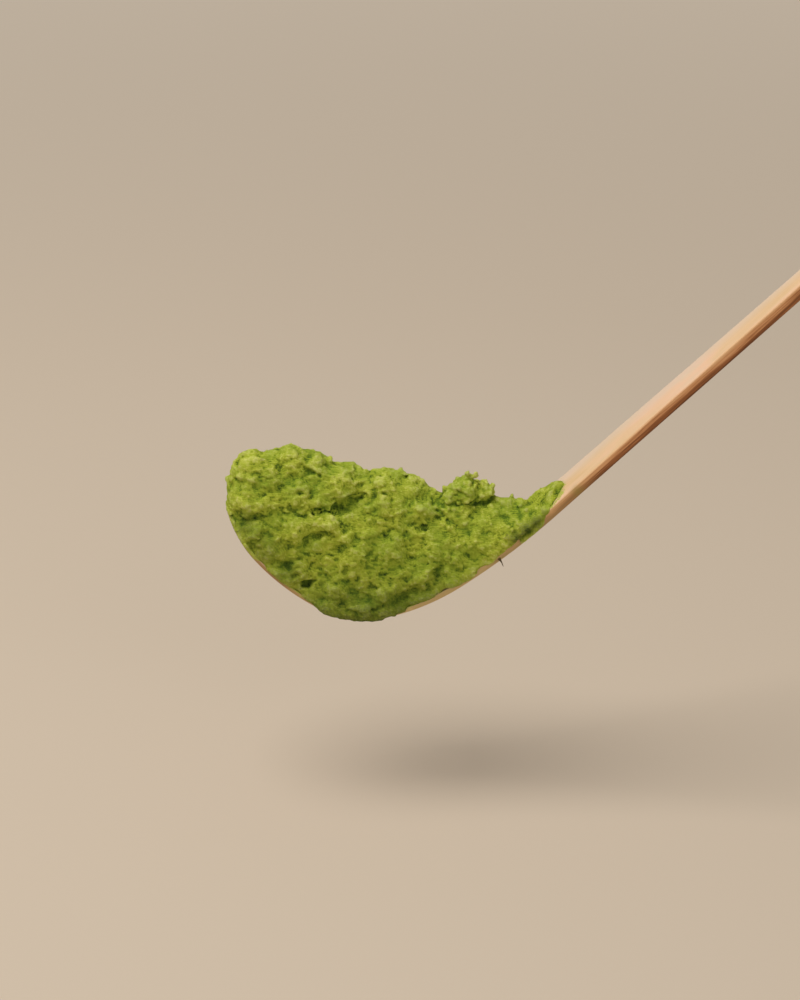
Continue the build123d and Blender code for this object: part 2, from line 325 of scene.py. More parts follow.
# Where one colour gives way to another, and how much of the other there is at most. The skin turns
# paler across the strip towards its far edge, partly its own tone and partly a painted highlight, and
# its sides turn paler and then browner along it.
tea_patch_span, most_patch = (0.4, 0.64), 0.35
# The first two are where the painted shade on the powder starts and how dark it gets at most
painted_shade_span, most_painted_shade = (0.1, 1.0), 0.95
pale_skin_and_highlight_across, most_pale_skin_and_highlight = (-0.5, 2.4), 0.7
pale_side_along, most_pale_side = (112.0, 136.0), 0.85
brown_side_along, most_brown_side = (158.0, 168.0), 0.6
pale_back_share = 0.7
dust_span = (0.35, 0.65)
# The tea's greener patches, and the dark green of the powder's painted shade
patch_tea, painted_shade_tea = (118, 152, 44), (54, 72, 25)
# The first is the skin's pale tone with a painted highlight, towards its far edge
pale_skin_and_highlight, pale_side, brown_side = (220, 200, 180), (212, 184, 122), (150, 100, 56)
pale_back, smear_tea = (208, 174, 122), (136, 130, 48)
dark_fibre = (82, 66, 34)
# Shades, as places on a ramp and colours of the screen
# The tea's ramp: painted shade in its hollows at the dark end, a painted highlight on what stands proud
# at the pale end
tea_shades = [
    (0.0, (30, 44, 18)),
    (0.25, (100, 121, 33)),
    (0.5, (162, 174, 50)),
    (0.75, (188, 197, 70)),
    (1.0, (212, 216, 112)),
]
skin_shades = [
    (0.0, (222, 184, 132)),
    (0.35, (230, 194, 150)),
    (0.65, (238, 196, 162)),
    (1.0, (224, 202, 170)),
]
side_shades = [
    (0.0, (116, 66, 28)),
    (0.35, (160, 98, 52)),
    (0.65, (212, 150, 98)),
    (1.0, (226, 174, 122)),
]
dust_shades = [(0.3, (150, 160, 52)), (0.7, (186, 194, 76))]
# How strong and how deep each bump is, and how high the dust lies in it
tea_bump, bamboo_bump, dust_height = (1.0, 0.3), (0.35, 0.12), 0.6
bare_to_dusty_roughness = (0.5, 0.95)


def paint(red, green, blue, alpha=1.0):
    """A colour as the screen shows it, 0 to 255, as the linear one that a shader takes"""
    shares = [value / 255 for value in (red, green, blue)]
    linear = [share / 12.92 if share <= 0.04045 else ((share + 0.055) / 1.055) ** 2.4 for share in shares]
    return (*linear, alpha)


# Meshes


def make_mesh(name, points, faces, body, material, attributes=None):
    """A smooth piece from points in millimetres, with its sharpest edges kept, which rides on a body"""
    mesh = bpy.data.meshes.new(name)
    mesh.from_pydata((np.asarray(points) * MM).tolist(), [], faces)
    for key, values in (attributes or {}).items():
        values = np.asarray(values, np.float32)
        is_vector = values.ndim == 2
        made = mesh.attributes.new(key, "FLOAT_VECTOR" if is_vector else "FLOAT", "POINT")
        made.data.foreach_set("vector" if is_vector else "value", values.ravel())
    mesh.shade_smooth()
    mesh.set_sharp_from_angle(angle=radians(sharp_angle))
    mesh.materials.append(material)
    piece = bpy.data.objects.new(name, mesh)
    bpy.context.scene.collection.objects.link(piece)
    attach(piece, body)
    return piece


def tube_faces(stations, ring, flipped=False):
    """The faces of a closed tube of rings of points, flipped where a ring runs the other way round"""
    number = np.arange(stations * ring).reshape(stations, ring)
    nexts = np.roll(number, -1, 1)
    quads = np.stack([number[:-1], number[1:], nexts[1:], nexts[:-1]], 2).reshape(-1, 4)
    caps = [number[0], number[-1][::-1]]
    if flipped:
        quads = quads[:, [0, 3, 2, 1]]
        caps = [cap[::-1] for cap in caps]
    return quads.tolist() + [cap.tolist() for cap in caps]


def node_mesh(name):
    """A CAD node's points, in millimetres, and its faces"""
    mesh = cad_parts[name].data
    points = [vertex.co / MM for vertex in mesh.vertices]
    faces = [tuple(polygon.vertices) for polygon in mesh.polygons]
    return points, faces


def picture_ray(px, py):
    """Where the camera stands, and the direction of a pixel of the photograph from it"""
    tilt = radians(camera_elevation)
    forward = Vector((0, cos(tilt), -sin(tilt)))
    up = Vector((0, sin(tilt), cos(tilt)))
    right = Vector((1, 0, 0))
    across = (px - picture_size.x / 2) / focal_pixels
    rise = (picture_size.y / 2 - py) / focal_pixels
    return aim - forward * camera_distance, (forward + right * across + up * rise).normalized()


def at_depth(px, py, y):
    """The point that a pixel shows on the upright plane at y"""
    start, heading = picture_ray(px, py)
    return start + heading * ((y - start.y) / heading.y)


def nearness(points, place, radius):
    """1 at a place in the photograph with its depth, and less the farther a point is from it"""
    away = np.linalg.norm(points - at_depth(*place), axis=1) / radius
    return np.exp(-(away**2))


# Fields on a grid: above zero inside the powder


def along_axis(values, axis):
    """Values in a row, shaped to spread along one axis of a grid"""
    shape = [1, 1, 1]
    shape[axis] = -1
    return np.reshape(values, shape).astype(np.float32)


def refine(values, times):
    """Values on a grid that is several times as fine, by linear steps between them"""
    for axis in range(3):
        places = np.arange((values.shape[axis] - 1) * times + 1) / times
        low = np.minimum(places.astype(int), values.shape[axis] - 2)
        share = along_axis(places - low, axis)
        values = np.take(values, low, axis) * (1 - share) + np.take(values, low + 1, axis) * share
    return values


def lattice_noise(grid, relief, later_seed=0):
    """Smooth noise of about -1 to 1 on a grid, whose lumps have a relief's size"""
    made = np.random.default_rng(relief.seed + later_seed)
    sizes = (relief.size, relief.size, relief.size * relief.thickness_share)
    counts = [int(count * grid.step / width) + noise_pad for count, width in zip(grid.shape, sizes)]
    values = made.uniform(-1, 1, counts).astype(np.float32)
    for axis in range(3):
        places = np.arange(grid.shape[axis]) * grid.step / sizes[axis]
        low = places.astype(int)
        t = places - low
        weights = [(1 - t) ** 3, 3 * t**3 - 6 * t**2 + 4, 1 + 3 * t + 3 * t**2 - 3 * t**3, t**3]
        values = sum(
            np.take(values, low + i, axis) * along_axis(weight / 6, axis)
            for i, weight in enumerate(weights)
        )
    return values * noise_stretch


def billow(noise):
    """Round lumps with creases between them"""
    return np.abs(noise) - billow_middle


def soft_union(a, b, blend):
    """The greater of two fields, with a fillet where they meet"""
    near = np.maximum(blend - np.abs(a - b), 0)
    return np.maximum(a, b) + near * near / (4 * blend)


def blend_in(field, window, depth, blend, dug=False):
    """Add a shape to part of a field, or dig it out, with a fillet round it"""
    if dug:
        field[window] = -soft_union(-field[window], depth, blend)
    else:
        field[window] = soft_union(field[window], depth, blend)


def blurred(values, cells):
    """Each value's mean over a box that reaches some cells to each side"""
    for axis in range(3):
        pads = [(0, 0)] * 3
        pads[axis] = (cells + 1, cells)
        total = np.cumsum(np.pad(values, pads, mode="edge"), axis, dtype=np.float32)
        count = values.shape[axis]
        width = 2 * cells + 1
        later = np.take(total, np.arange(width, width + count), axis)
        values = (later - np.take(total, np.arange(count), axis)) / width
    return values


class Grid:
    """A box of evenly spaced points"""

    def __init__(self, low, step, shape):
        self.low = np.array(low)
        self.step = step
        self.shape = shape

    def axes(self):
        return [self.low[i] + np.arange(self.shape[i]) * self.step for i in range(3)]

    def cells(self, length):
        return round(length / self.step)

    def finer(self, times):
        return Grid(self.low, self.step / times, tuple((n - 1) * times + 1 for n in self.shape))

    def window(self, centre, radius):
        """The slices round a point, and the offsets of each of their points from it"""
        first = np.floor((centre - radius - self.low) / self.step).astype(int)
        last = np.ceil((centre + radius - self.low) / self.step).astype(int) + 1
        spans = [range(max(a, 0), max(min(b, n), 0)) for a, b, n in zip(first, last, self.shape)]
        places = [self.low[i] + np.array(span) * self.step - centre[i] for i, span in enumerate(spans)]
        offsets = np.stack(np.meshgrid(*places, indexing="ij"), -1)
        return tuple(slice(span.start, span.stop) for span in spans), offsets

    def blend_ball(self, field, centre, radius, blend, dug=False):
        window, offsets = self.window(np.array(centre), radius + fillet_reach * blend)
        blend_in(field, window, radius - np.linalg.norm(offsets, axis=-1), blend, dug)

    def bit(self, centre, sizes, turn):
        """The slices round an angular bit, and how deep each of their points lies in it"""
        window, offsets = self.window(centre, sizes.max() * bit_window_share)
        local = np.abs(offsets @ turn / sizes)
        norm = (local**bit_roundness).sum(-1) ** (1 / bit_roundness)
        return window, (1 - norm) * sizes.min()

    def sample(self, field, points):
        """The field at the grid point nearest to each point"""
        cells = np.rint((points - self.low) / self.step).astype(int)
        cells = np.clip(cells, 0, np.array(self.shape) - 1)
        return field[tuple(cells.T)]


def measured(tree, grid, field):
    """The field with each point's distance from a surface in place of its reach"""
    x_axis, y_axis, z_axis = grid.axes()
    for i, x in enumerate(x_axis):
        for j, y in enumerate(y_axis):
            for k, z in enumerate(z_axis):
                distance = tree.find_nearest((x, y, z), reach)[3]
                if distance is not None:
                    field[i, j, k] = distance if field[i, j, k] > 0 else -distance
    return field


def signed_distance(tree, grid):
    """Each point's distance from a closed surface, up to the reach, above zero inside"""
    x_axis, y_axis, z_axis = grid.axes()
    field = np.full(grid.shape, -reach, np.float32)
    across = Vector((0, 1, 0))
    for i, x in enumerate(x_axis):
        for k, z in enumerate(z_axis):
            hits = []
            hit = tree.ray_cast(Vector((x + ray_nudge, y_axis[0] - reach, z + ray_nudge)), across)
            while hit[0] is not None:
                hits.append(hit[0].y)
                hit = tree.ray_cast(hit[0] + across * ray_nudge, across)
            for enter, leave in zip(hits[::2], hits[1::2]):
                field[i, (y_axis > enter) & (y_axis < leave), k] = reach
    return measured(tree, grid, field)


def warped(field, grid, warp):
    """The field near its surface, read a little way off, so that round lumps become uneven"""
    near = np.nonzero(np.abs(field) < reach - warp.height)
    shifts = [lattice_noise(grid, warp, axis)[near] * (warp.height / grid.step) for axis in range(3)]
    places = np.stack(near) + np.stack(shifts)
    places = np.clip(places, 0, np.array(grid.shape)[:, None] - last_cell)
    low = places.astype(int)
    share = places - low
    total = 0
    for corner in np.ndindex(2, 2, 2):
        side = np.array(corner)[:, None]
        weight = np.prod(np.where(side == 1, share, 1 - share), 0)
        total = total + weight * field[tuple(low + side)]
    moved = field.copy()
    moved[near] = total
    return moved


def surface_net(field, grid):
    """The surface where a field crosses zero: a point in each cell, and a face over each edge"""
    inside = field > 0
    cell_shape = tuple(n - 1 for n in field.shape)

    def shifted(values, corner):
        return values[tuple(slice(c, c + n) for c, n in zip(corner, cell_shape))]

    filled = sum(shifted(inside, corner).astype(np.uint8) for corner in np.ndindex(2, 2, 2))
    crossed = (filled > 0) & (filled < 8)
    cells = np.argwhere(crossed)
    number = np.full(cell_shape, -1, np.int64)
    number[crossed] = np.arange(len(cells))
    total = np.zeros((len(cells), 3))
    count = np.zeros((len(cells), 1))
    for start in np.ndindex(2, 2, 2):
        for axis in range(3):
            if start[axis]:
                continue
            end = tuple(c + (n == axis) for n, c in enumerate(start))
            at_start = field[tuple((cells + start).T)]
            at_end = field[tuple((cells + end).T)]
            cut = (at_start > 0) != (at_end > 0)
            share = at_start / np.where(cut, at_start - at_end, 1)
            place = np.array(start) + share[:, None] * (np.array(end) - start)
            total[cut] += place[cut]
            count[cut] += 1
    points = grid.low + (cells + total / count) * grid.step

    faces = []
    for axis in range(3):
        u, v = [n for n in range(3) if n != axis]
        if axis == 1:
            u, v = v, u
        edges = inside != np.roll(inside, -1, axis)
        for n, stop in enumerate(field.shape):
            ends = [slice(None)] * 3
            ends[n] = slice(stop - 1, stop)
            edges[tuple(ends)] = False
            if n != axis:
                ends[n] = slice(0, 1)
                edges[tuple(ends)] = False
        at = np.argwhere(edges)
        back_u = np.eye(3, dtype=int)[u]
        back_v = np.eye(3, dtype=int)[v]
        ring = [at, at - back_u, at - back_u - back_v, at - back_v]
        quads = np.stack([number[tuple(cell.T)] for cell in ring], 1)
        entering = ~inside[tuple(at.T)]
        quads[entering] = quads[entering][:, ::-1]
        faces.append(quads)
    return points, np.concatenate(faces).tolist()


# Materials


class Look:
    """A node material, built from its parts"""

    def __init__(self, name):
        self.material = bpy.data.materials.new(name)
        self.material.use_nodes = True
        self.nodes = self.material.node_tree.nodes
        self.links = self.material.node_tree.links
        self.shader = self.nodes["Principled BSDF"]

    def node(self, kind, inputs=None, **settings):
        made = self.nodes.new("ShaderNode" + kind)
        for key, value in settings.items():
            setattr(made, key, value)
        for key, value in (inputs or {}).items():
            self.put(made.inputs[key], value)
        return made

    def put(self, socket, value):
        if isinstance(value, bpy.types.NodeSocket):
            self.links.new(value, socket)
        else:
            socket.default_value = value

    def attribute(self, name, output="Fac"):
        return self.node("Attribute", attribute_name=name).outputs[output]

    def scaled(self, vector, scale):
        return self.node("VectorMath", {0: vector, 1: scale}, operation="MULTIPLY").outputs[0]

    def noise(self, vector, scale=1.0, detail=2.0, roughness=0.5):
        inputs = {"Vector": vector, "Scale": scale, "Detail": detail, "Roughness": roughness}
        return self.node("TexNoise", inputs).outputs["Fac"]

    def ramp(self, share, shades):
        made = self.node("ValToRGB", {"Fac": share})
        line = made.color_ramp
        while len(line.elements) < len(shades):
            line.elements.new(1)
        for element, (place, colour) in zip(line.elements, shades):
            element.position = place
            element.color = paint(*colour)
        return made.outputs["Color"]

    def remap(self, value, span, levels=(0.0, 1.0)):
        ends = dict(zip(("From Min", "From Max", "To Min", "To Max"), (*span, *levels)))
        return self.node("MapRange", {"Value": value, **ends}).outputs["Result"]

    def swing(self, noise, amount):
        return self.remap(noise, noise_span, (-amount, amount))

    def add(self, *values):
        total = values[0]
        for value in values[1:]:
            total = self.node("Math", {0: total, 1: value}, operation="ADD").outputs[0]
        return total

    def times(self, a, b):
        return self.node("Math", {0: a, 1: b}, operation="MULTIPLY").outputs[0]

    def mix(self, share, a, b):
        made = self.node("Mix", data_type="RGBA")
        colours = [socket for socket in made.inputs if socket.type == "RGBA"]
        self.put(made.inputs[0], share)
        self.put(colours[0], a)
        self.put(colours[1], b)
        return next(socket for socket in made.outputs if socket.type == "RGBA")

    def bump(self, height, strength, depth):
        inputs = {"Height": height, "Strength": strength, "Distance": depth * MM}
        return self.node("Bump", inputs).outputs["Normal"]

    def finish(self, **inputs):
        for key, value in inputs.items():
            self.put(self.shader.inputs[key.replace("_", " ")], value)
        return self.material


def tea_look():
    """Powdered tea: pale as a painted highlight where it stands proud, dark as painted shade in its
    hollows, low on the heap and where shade falls
    """
    look = Look("powdered_tea")
    place = look.scaled(look.node("TexCoord").outputs["Object"], (1 / MM, 1 / MM, 1 / MM))
    grain = look.noise(place, tea_grain_scale, detail=4.0, roughness=0.75)
    speck = look.noise(place, tea_speck_scale)
    cloud = look.noise(place, tea_cloud_scale)
    # How open and how proud the powder is move it along the ramp: painted shade in its hollows, a painted
    # highlight where it stands proud
    level = look.add(
        look.remap(look.attribute("open"), open_span, open_levels),
        look.remap(look.attribute("proud"), proud_span, proud_levels),
        look.swing(grain, grain_swing),
        look.swing(speck, speck_swing),
        look.swing(cloud, cloud_swing),
    )
    patch = look.remap(look.noise(place, tea_patch_scale), tea_patch_span, (0.0, most_patch))
    colour = look.mix(patch, look.ramp(level, tea_shades), paint(*patch_tea))
    # Painted shade, darker low on the heap and where shade falls
    painted_shade = look.add(look.attribute("painted_shade"), look.swing(grain, painted_shade_swing))
    colour = look.mix(look.remap(painted_shade, painted_shade_span, (0.0, most_painted_shade)), colour, paint(*painted_shade_tea))
    return look.finish(
        Base_Color=colour,
        Roughness=0.95,
        Specular_IOR_Level=0.1,
        Normal=look.bump(grain, *tea_bump),
    )


def bamboo_look():
    """Bamboo: a pale polished skin, brown fibres on the cut sides, and tea dust by the load"""
    look = Look("bamboo")
    grain = look.attribute("grain", "Vector")
    axes = look.node("SeparateXYZ", {0: grain}).outputs
    fibres = look.noise(look.scaled(grain, fibre_scales), detail=5.0, roughness=0.6)
    coarse = look.noise(look.scaled(grain, coarse_scales), detail=3.0)
    patches = look.noise(look.scaled(grain, patch_scales))
    shade = look.add(
        look.remap(patches, noise_span, patch_levels),
        look.remap(fibres, noise_span, skin_fibre_levels),
    )
    # Paler towards the far edge: partly the skin's own tone, partly a painted highlight
    paler = look.remap(axes["Y"], pale_skin_and_highlight_across, (0.0, most_pale_skin_and_highlight))
    skin = look.mix(paler, look.ramp(shade, skin_shades), paint(*pale_skin_and_highlight))

    streak = look.add(
        look.remap(fibres, fibre_span, streak_levels),
        look.remap(coarse, noise_span, streak_levels),
        look.remap(look.attribute("up"), up_span, up_levels),
    )
    paler = look.remap(axes["X"], pale_side_along, (0.0, most_pale_side))
    side = look.mix(paler, look.ramp(streak, side_shades), paint(*pale_side))
    back = look.mix(pale_back_share, side, paint(*pale_back))
    browner = look.remap(axes["X"], brown_side_along, (0.0, most_brown_side))
    side = look.mix(browner, side, paint(*brown_side))
    colour = look.mix(look.attribute("side"), skin, side)
    colour = look.mix(look.attribute("back"), colour, back)
    colour = look.mix(look.attribute("smear"), colour, paint(*smear_tea))

    specks = look.noise(look.scaled(grain, dust_scales), detail=4.0, roughness=0.65)
    dust = look.add(look.attribute("dust"), look.swing(specks, dust_swing))
    dust = look.remap(dust, dust_span)
    colour = look.mix(dust, colour, look.ramp(specks, dust_shades))
    height = look.add(fibres, look.times(dust, dust_height))
    return look.finish(
        Base_Color=colour,
        Roughness=look.remap(dust, (0.0, 1.0), bare_to_dusty_roughness),
        Specular_IOR_Level=0.35,
        Normal=look.bump(height, *bamboo_bump),
    )


def fibre_look():
    """The loose fibre: old, dark bamboo"""
    look = Look("dark_fibre")
    return look.finish(Base_Color=paint(*dark_fibre), Roughness=0.8, Specular_IOR_Level=0.2)


# The strip of bamboo


def strip_stations():
    """Stations along the strip: distance from its end, place of the back, slope and thickness"""
    lengths = [grip_to_end + grip_to_neck] + [radius * radians(turn) for radius, turn in blade_arcs]
    joints = np.cumsum([0.0] + lengths)
    slopes = handle_slope - np.cumsum([0.0, 0.0] + [turn for _, turn in blade_arcs])
    along = np.arange(0, joints[-1] - tip_reach, station_gap)
    last = np.linspace(1, 0, tip_stations)
    along = np.concatenate([along, joints[-1] - tip_reach * last**2])
    slope = np.radians(np.interp(along, joints, slopes))
    middle = (slope[1:] + slope[:-1]) / 2
    steps = np.diff(along)
    x = grip_to_end * cos(slope[0]) - np.concatenate([[0], np.cumsum(steps * np.cos(middle))])
    z = grip_to_end * sin(slope[0]) - np.concatenate([[0], np.cumsum(steps * np.sin(middle))])
    thickness = np.interp(along, joints, thicknesses)
    return along, x, z, slope, thickness, joints


def half_width(from_tip):
    """Half the strip's width at a level distance from its tip"""
    nose = blade_half_width * np.sqrt(1 - np.clip(1 - from_tip / tip_rounding, 0, 1) ** 2)
    flare_start = tip_rounding + blade_straight
    flare_end = flare_start + blade_to_neck
    slim = flare_end + neck_to_slim
    end_slope = (slim_half_width - neck_half_width) / neck_to_slim * blade_to_neck
    t = np.clip((from_tip - flare_start) / blade_to_neck, 0, 1)
    drop = neck_half_width - blade_half_width
    flare = blade_half_width + drop * (3 * t**2 - 2 * t**3) + end_slope * (t**3 - t**2)
    handle = np.interp(
        from_tip,
        [flare_end, slim, from_tip.max()],
        [neck_half_width, slim_half_width, end_half_width],
    )
    widths = np.where(from_tip < tip_rounding, nose, blade_half_width)
    widths = np.where(from_tip > flare_start, flare, widths)
    return np.where(from_tip > flare_end, handle, widths)


def ring_shape(width, thickness):
    """One ring round the strip: places across it and above its back, and which face each is on"""
    most = np.minimum(rounding_of_thickness_share * thickness, rounding_of_width_share * width)
    r = np.minimum(edge_rounding, most)
    turns = np.linspace(0, pi / 2, corner_points + 2)[1:-1]
    corner = [(width - r + r * sin(turn), r - r * cos(turn)) for turn in turns]
    flats = [share * (width - r) for share in np.linspace(-1, 1, flat_points)]
    sides = [r + share * (thickness - 2 * r) for share in np.linspace(0, 1, side_points)]
    rows = [(y, thickness, on_skin) for y in flats]
    rows += [(y, thickness - z, on_upper_edge) for y, z in corner]
    rows += [(width, z, on_side) for z in reversed(sides)]
    rows += [(y, z, on_lower_edge) for y, z in reversed(corner)]
    rows += [(y, np.zeros_like(width), on_back) for y in reversed(flats)]
    rows += [(-y, z, on_lower_edge) for y, z in corner]
    rows += [(-width, z, on_side) for z in sides]
    rows += [(-y, thickness - z, on_upper_edge) for y, z in reversed(corner)]
    return rows


def make_strip(material, tea_tree):
    """The whole strip, with attributes that tell its look where the faces, the grain and the dust are"""
    along, x, z, slope, thickness, joints = strip_stations()
    width = np.maximum(half_width(x - x[-1]), least_half_width)
    rows = ring_shape(width, thickness)
    across = np.stack([row[0] for row in rows], 1)
    above = np.stack([row[1] for row in rows], 1)
    face = np.array([row[2] for row in rows])
    up = above / thickness[:, None]

    skin = (face == on_skin)[None, :]
    dished = np.interp(along, joints[2:], [0, 1, 1, 0])
    dish = np.clip(1 - (across / dish_half_width) ** 2, 0, 1) * dish_depth * dished[:, None]
    from_node = (along - (grip_to_end - node_from_grip)) / (node_length / 2)
    groove = groove_share * np.exp(-groove_sharpness * (from_node + groove_offset_share) ** 2)
    ridge = np.exp(-ridge_sharpness * from_node**2) - groove
    above = above + skin * (node_height * ridge[:, None] - dish)

    made = np.random.default_rng(sway_seed)
    bends = np.arange(0, joints[-1] + sway_length, sway_length)
    swayed = np.interp(along, bends, made.uniform(-sway, sway, len(bends)))
    points = np.stack(
        [
            x[:, None] - np.sin(slope)[:, None] * above,
            across + swayed[:, None],
            z[:, None] + np.cos(slope)[:, None] * above,
        ],
        2,
    ).reshape(-1, 3)

    stations, ring = across.shape
    nearest = np.array([tea_tree.find_nearest(point)[3] for point in points])
    from_tip = joints[-1] - np.repeat(along, ring)
    tip_dust = np.clip((dusty_tip - from_tip) / dusty_fade, 0, 1)
    clinging = np.tile(np.interp(face, dusted_faces, dusted_shares), stations)
    back_share = np.clip((face - on_lower_edge) / (on_back - on_lower_edge), 0, 1)
    attributes = {
        "grain": np.stack([np.repeat(along, ring), across.ravel(), above.ravel()], 1),
        "side": np.tile(np.clip(face / on_side, 0, 1), stations),
        "back": np.tile(back_share, stations),
        "up": up.ravel(),
        "dust": clinging * np.maximum(np.exp(-nearest / dust_reach) * most_dust, tip_dust),
        "smear": smear_share * nearness(points, smear_place, smear_radius),
    }
    faces = tube_faces(stations, ring, flipped=True)
    piece = make_mesh("bamboo_strip", points, faces, "scoop", material, attributes)
    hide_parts("bamboo_scoop")


def make_fibre(material):
    """A hair of bamboo with a wide root on the blade's near edge, and a bent end"""
    spine = [np.array(at_depth(px, py, fibre_depth)) for px, py in fibre_places]
    turns = np.linspace(0, 2 * pi, fibre_sides, endpoint=False)
    points = []
    for i, (place, radius) in enumerate(zip(spine, fibre_radii)):
        heading = spine[min(i + 1, len(spine) - 1)] - spine[max(i - 1, 0)]
        across = np.cross(heading, (0, 1, 0))
        across = across / np.linalg.norm(across)
        for turn in turns:
            points.append(place + radius * (cos(turn) * across + sin(turn) * np.array((0, 1, 0))))
    faces = tube_faces(len(spine), fibre_sides)
    piece = make_mesh("fibre", points, faces, "scoop", material)
    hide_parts("stray_fibre")


# The heap of tea


def tea_surfaces():
    """A tree of each tea solid's surface, one of what shows, and one of what other tea covers"""
    meshes = {node: node_mesh(node) for node in tea_nodes.values()}
    trees = {node: BVHTree.FromPolygons(*mesh) for node, mesh in meshes.items()}
    shown, hidden = ([], []), ([], [])
    for node, (corners, faces) in meshes.items():
        others = [tree for name, tree in trees.items() if name != node]
        for face in faces:
            middle = sum((corners[i] for i in face), Vector()) / len(face)
            covered = any(tree.find_nearest(middle, touching)[0] is not None for tree in others)
            points, polygons = hidden if covered else shown
            polygons.append(tuple(range(len(points), len(points) + len(face))))
            points.extend(corners[i] for i in face)
    return trees, BVHTree.FromPolygons(*shown), BVHTree.FromPolygons(*hidden)


def heap_fields(trees, shown, hidden):
    """The coarse grid, the field of the whole heap on it, and that of each solid"""
    boxes = np.array([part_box(node) for node in tea_nodes.values()]) / MM
    low = boxes[:, 0].min(0) - heap_pad
    high = boxes[:, 1].max(0) + heap_pad
    grid = Grid(low, coarse_step, tuple(int(n) for n in np.ceil((high - low) / coarse_step) + 1))
    solids = {node: signed_distance(tree, grid) for node, tree in trees.items()}
    inside = np.max(list(solids.values()), 0)
    seams = measured(hidden, grid, np.full(grid.shape, reach, np.float32))
    whole = np.where((inside > 0) | (seams < seam_reach), reach, -reach).astype(np.float32)
    return grid, measured(shown, grid, whole), solids


def dig(field, grid, shown, chains, depth_shares):
    """Hollows along chains of places that the photograph shows on the near face"""
    for chain in chains:
        for here, after in zip(chain, chain[1:] + chain[-1:]):
            for share in chain_step_shares:
                px, py, radius = [a + share * (b - a) for a, b in zip(here, after)]
                start, heading = picture_ray(px, py)
                hit = shown.ray_cast(start, heading)[0]
                if hit is None:
                    continue
                for depth in depth_shares:
                    centre = hit + heading * depth * radius
                    grid.blend_ball(field, centre, radius, hollow_blend, dug=True)


def near_node(grid, node):
    """Which points of a grid lie in or near a node's box"""
    low, high = np.array(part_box(node)) / MM
    inside = [
        (axis > low[i] - grains_margin) & (axis < high[i] + grains_margin)
        for i, axis in enumerate(grid.axes())
    ]
    return inside[0][:, None, None] & inside[1][None, :, None] & inside[2][None, None, :]


def scatter(field, grid, bits):
    """Angular bits that are added to the powder, or dug out of it, at random places by its surface"""
    made = np.random.default_rng(bits.seed)
    near = (field > bits.depths[0]) & (field < bits.depths[1])
    if bits.node:
        near &= near_node(grid, bits.node)
    places = np.argwhere(near)
    for cell in places[made.integers(0, len(places), bits.count)]:
        turn = np.linalg.qr(made.normal(size=(3, 3)))[0]
        radii = made.uniform(*bits.sizes) * made.uniform(*bit_axis_shares, 3)
        if bits.flat:
            turn = np.linalg.qr(np.eye(3) + flake_tilt * made.normal(size=(3, 3)))[0]
            radii[2] = flake_thickness_share * radii[0]
        window, depth = grid.bit(grid.low + cell * grid.step, radii, turn)
        blend_in(field, window, depth, bits.blend, bits.dug)


def over_strip(grid):
    """The strip's half width at each place of a grid, and how high each point is above its back"""
    x, _, z = grid.axes()
    width = along_axis(half_width(np.maximum(x - x_of_tip, 0)), 0)
    back_x, back_z = strip_stations()[1:3]
    return width, along_axis(z, 2) - along_axis(np.interp(x, back_x[::-1], back_z[::-1]), 0)


def kept_above(field, grid):
    """The field without the powder that would come out of the thin strip's back"""
    x, y, _ = grid.axes()
    width, above = over_strip(grid)
    beside = np.abs(along_axis(y, 1)) - under_edge_share * width
    before = along_axis(x_of_tip + under_start - x, 0)
    return np.minimum(field, np.maximum(np.maximum(above, beside), before))


def coated(field, grid, blade):
    """The field with the tea that clings to the blade's cut sides"""
    x, y, _ = grid.axes()
    width, above = over_strip(grid)
    edge = np.abs(along_axis(y, 1)) / np.maximum(width, least_half_width)
    missed = np.clip(coat_edge_share - edge, 0, 1) + np.clip(coat_above_back - above, 0, 1)
    rough = coat_relief.height * lattice_noise(grid, coat_relief)
    for place, half_length, thickness in coats:
        along = np.clip((half_length - np.abs(x - place)) / coat_fade, -1, 1)
        coat = blade + thickness * along_axis(along, 0) + rough - coat_steepness * missed
        field = soft_union(field, coat, coat_blend)
    return field


def thinned(field, grid, blade):
    """The field with the powder's ragged end on the neck, where it thins out"""
    x, y, _ = grid.axes()
    ends = along_axis(np.interp(y, toe_end_across, toe_end_along), 1)
    ends = ends + toe_end_relief.height * lattice_noise(grid, toe_end_relief)
    height = toe_end_slope * (ends - along_axis(x, 0))
    return np.minimum(field, toe_end_steepness * (height + blade))


def sculpt(whole, grid, shown, blade):
    """The powder's relief on the smooth heap, with its gap from the blade"""
    field = blurred(whole, grid.cells(crease_rounding))
    for *place, radius in outline_lumps:
        grid.blend_ball(field, at_depth(*place), radius, outline_blend)
    for px, py, radius in outline_cuts:
        for y in np.arange(-cut_reach, cut_reach + cut_gap / 2, cut_gap):
            grid.blend_ball(field, at_depth(px, py, y), radius, cut_blend, dug=True)
    dig(field, grid, shown, face_hollows, hollow_depth_shares)
    dig(field, grid, shown, face_dips, dip_depth_shares)
    for warp in warps:
        field = warped(field, grid, warp)

    field += swells.height * lattice_noise(grid, swells)
    levels = along_axis(np.interp(grid.axes()[2], rough_levels, rough_shares), 2)
    rough = levels * np.clip(-blade / smooth_reach, smoothest, 1)
    field += rough * billows.height * billow(lattice_noise(grid, billows))
    for ripple in ripples:
        field += rough * ripple.height * lattice_noise(grid, ripple)
    field += fullest * np.clip(1 + blade / full_reach, 0, 1)
    for *place, radius in spike:
        grid.blend_ball(field, at_depth(*place), radius, spike_blend)
    for bits in powder_bits:
        scatter(field, grid, bits)

    field = thinned(coated(kept_above(field, grid), grid, blade), grid, blade)
    gap = along_axis(np.interp(grid.axes()[0], gap_along, blade_gaps), 0)
    return np.minimum(field, -blade - gap)


def painted_shade_at(points):
    """How dark the painted shade on the powder is at each point: low on the heap and where shade falls"""
    painted_shade = np.interp(points[:, 2], painted_shade_levels, painted_shade_shares)
    for *place, radius, share in painted_shade_places:
        painted_shade = np.maximum(painted_shade, share * nearness(points, place, radius))
    return painted_shade


